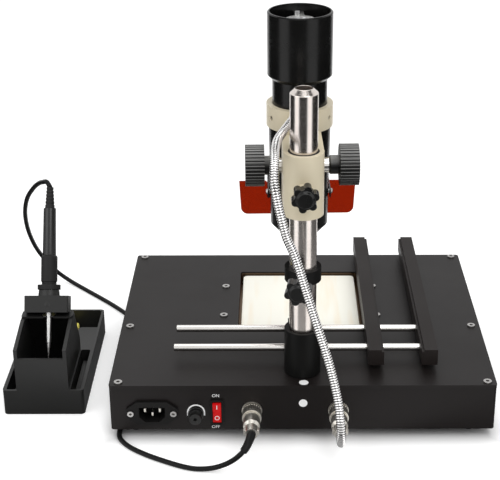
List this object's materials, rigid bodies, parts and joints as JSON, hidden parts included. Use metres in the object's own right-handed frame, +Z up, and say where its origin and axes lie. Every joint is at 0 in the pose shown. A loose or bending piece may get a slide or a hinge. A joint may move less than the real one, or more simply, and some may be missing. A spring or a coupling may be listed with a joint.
{
  "type": "infrared rework station",
  "caption": "Infrared rework station: flat base with heating plate, focusing lamp and red shield on a column, sliding board clamp bars, and a soldering iron in its stand.",
  "frame": {"origin": "middle of the base box's footprint on the bench, at the level of the feet", "axes": "+Z up, -Y towards the operator, +Y towards the rear panel, +X to the operator's right, where the iron stands"},
  "size_m": [0.4833, 0.4144, 0.3815],
  "materials": {
    "case_paint": "satin dark powder coat",
    "black_metal": "satin black anodised or painted",
    "lamp_black": "semi-gloss black anodised",
    "cream_paint": "cream enamelled casting",
    "polished_steel": "polished",
    "bracket_steel": "brushed",
    "pan_steel": "heat-tinted",
    "nickel": "nickel plate",
    "bush_steel": "turned",
    "brass": "machined",
    "black_plastic": "moulded",
    "gloss_black": "moulded, glossy",
    "rubber": "matte",
    "ceramic": "fired ceramic, slightly streaked",
    "winding": "taped winding on an iron core",
    "board": "printed board with parts",
    "red_rocker": "moulded, glossy",
    "red_shield": "tinted acrylic",
    "lens_glass": "clear",
    "bulb_glass": "coated reflector",
    "panel_film": "printed overlay",
    "display_red": "tinted window",
    "button_grey": "moulded",
    "sponge_yellow": "cellulose",
    "tip_copper": "plated copper"
  },
  "bodies": {
    "root": {"chassis": "case_paint", "top_plate": "case_paint", "case_screws": "polished_steel", "feet": "rubber", "heater_pan": "pan_steel", "heater_plate": "ceramic", "transformer": "winding", "control_board": "board", "power_inlet": "black_plastic", "inlet_pins": "nickel", "fuse_holder": "black_plastic", "switch_frame": "gloss_black", "iron_socket": "nickel", "lamp_socket": "nickel", "iron_plug": "nickel", "lamp_plug": "nickel", "iron_cord": "rubber", "iron_boot": "rubber", "lamp_hose": "bracket_steel", "column_socket": "black_metal", "column": "polished_steel", "rod_block": "black_metal", "guide_rods": "polished_steel", "front_panel": "panel_film", "displays": "display_red", "stand_body": "black_plastic", "stand_receptacle": "black_plastic", "sponge": "sponge_yellow"},
    "fuse_cap": {"fuse_cap": "black_plastic"},
    "rocker": {"switch_rocker": "red_rocker"},
    "iron_coupling": {"iron_plug_ring": "nickel"},
    "lamp_coupling": {"lamp_plug_ring": "nickel"},
    "collar": {"stop_collar": "black_metal"},
    "collar_knob": {"collar_knob": "black_plastic"},
    "bush": {"column_bush": "bush_steel"},
    "holder": {"holder_body": "cream_paint"},
    "holder_knob": {"holder_knob": "black_plastic"},
    "pinion": {"pinion_shaft": "polished_steel", "focus_knobs": "black_plastic"},
    "lamp": {"lamp_ring": "cream_paint", "focus_rack": "brass", "lamp_tube": "lamp_black", "lamp_cup": "lamp_black", "bulb": "bulb_glass", "bulb_clip": "bracket_steel", "lens": "lens_glass", "hose_gland": "nickel", "lamp_screws": "polished_steel"},
    "shield": {"shield_bracket": "bracket_steel", "shield": "red_shield"},
    "inner_bar": {"clamp_bar_inner": "black_metal"},
    "outer_bar": {"clamp_bar_outer": "black_metal"},
    "set_button": {"button_set": "button_grey"},
    "up_button": {"button_up": "button_grey"},
    "down_button": {"button_down": "button_grey"},
    "dial": {"iron_dial": "black_plastic"},
    "iron": {"iron_handle": "black_plastic", "iron_grip": "rubber", "iron_barrel": "bracket_steel", "iron_tip": "tip_copper", "iron_tail": "rubber"}
  },
  "joints": [
    {"name": "collar_slide", "type": "slide", "parent": "root", "child": "collar", "axis": [0, 0, 1], "range_m": [-0.04, 0.02]},
    {"name": "collar_knob_turn", "type": "hinge", "parent": "collar", "child": "collar_knob", "pos_m": [0, 0.115, 0.1605], "axis": [0.1219, 0.9925, 0], "range_deg": [-180, 180]},
    {"name": "holder_slide", "type": "slide", "parent": "root", "child": "bush", "axis": [0, 0, 1], "range_m": [-0.02, 0.045], "deforming": ["lamp_hose"]},
    {"name": "holder_swing", "type": "hinge", "parent": "bush", "child": "holder", "pos_m": [0, 0.115, 0.219], "axis": [0, 0, 1], "range_deg": [-45, 45], "deforming": ["lamp_hose"]},
    {"name": "holder_knob_turn", "type": "hinge", "parent": "holder", "child": "holder_knob", "pos_m": [0, 0.115, 0.246], "axis": [-0.0262, 0.9997, 0], "range_deg": [-180, 180]},
    {"name": "focus_slide", "type": "slide", "parent": "holder", "child": "lamp", "axis": [0, 0, 1], "range_m": [-0.018, 0.018], "deforming": ["lamp_hose"]},
    {"name": "focus_turn", "type": "hinge", "parent": "holder", "child": "pinion", "pos_m": [0.00089, 0.08101, 0.252], "axis": [0.9997, 0.0262, 0], "range_deg": [-176, 176]},
    {"name": "shield_tilt", "type": "hinge", "parent": "lamp", "child": "shield", "pos_m": [0.0022, 0.03103, 0.2062], "axis": [0.9997, 0.0262, 0], "range_deg": [-25, 0]},
    {"name": "inner_bar_slide", "type": "slide", "parent": "root", "child": "inner_bar", "axis": [1, 0, 0], "range_m": [-0.012, 0.04]},
    {"name": "outer_bar_slide", "type": "slide", "parent": "root", "child": "outer_bar", "axis": [1, 0, 0], "range_m": [0, 0.018]},
    {"name": "iron_lift", "type": "slide", "parent": "root", "child": "iron", "axis": [0, -0.4695, 0.8829], "range_m": [0, 0.09], "deforming": ["iron_cord"]},
    {"name": "switch_rock", "type": "hinge", "parent": "root", "child": "rocker", "pos_m": [0.08, 0.1393, 0.029], "axis": [1, 0, 0], "range_deg": [0, 16]},
    {"name": "fuse_cap_turn", "type": "hinge", "parent": "root", "child": "fuse_cap", "pos_m": [0.0998, 0.1423, 0.027], "axis": [0, 1, 0], "range_deg": [0, 90]},
    {"name": "iron_coupling_turn", "type": "hinge", "parent": "root", "child": "iron_coupling", "pos_m": [0.0473, 0.1423, 0.031], "axis": [0, 1, 0], "range_deg": [-180, 180]},
    {"name": "lamp_coupling_turn", "type": "hinge", "parent": "root", "child": "lamp_coupling", "pos_m": [-0.0333, 0.1423, 0.031], "axis": [0, 1, 0], "range_deg": [-180, 180]},
    {"name": "set_button_press", "type": "slide", "parent": "root", "child": "set_button", "axis": [0, 1, 0], "range_m": [0, 0.0015], "stiffness_N_per_m": 300, "springref_m": -0.001},
    {"name": "up_button_press", "type": "slide", "parent": "root", "child": "up_button", "axis": [0, 1, 0], "range_m": [0, 0.0015], "stiffness_N_per_m": 300, "springref_m": -0.001},
    {"name": "down_button_press", "type": "slide", "parent": "root", "child": "down_button", "axis": [0, 1, 0], "range_m": [0, 0.0015], "stiffness_N_per_m": 300, "springref_m": -0.001},
    {"name": "dial_turn", "type": "hinge", "parent": "root", "child": "dial", "pos_m": [0.092, -0.1423, 0.033], "axis": [0, -1, 0], "range_deg": [-135, 135]}
  ],
  "couplings": [
    {"joint": "focus_turn", "follows": "focus_slide", "rad_per_m": -166.67}
  ]
}
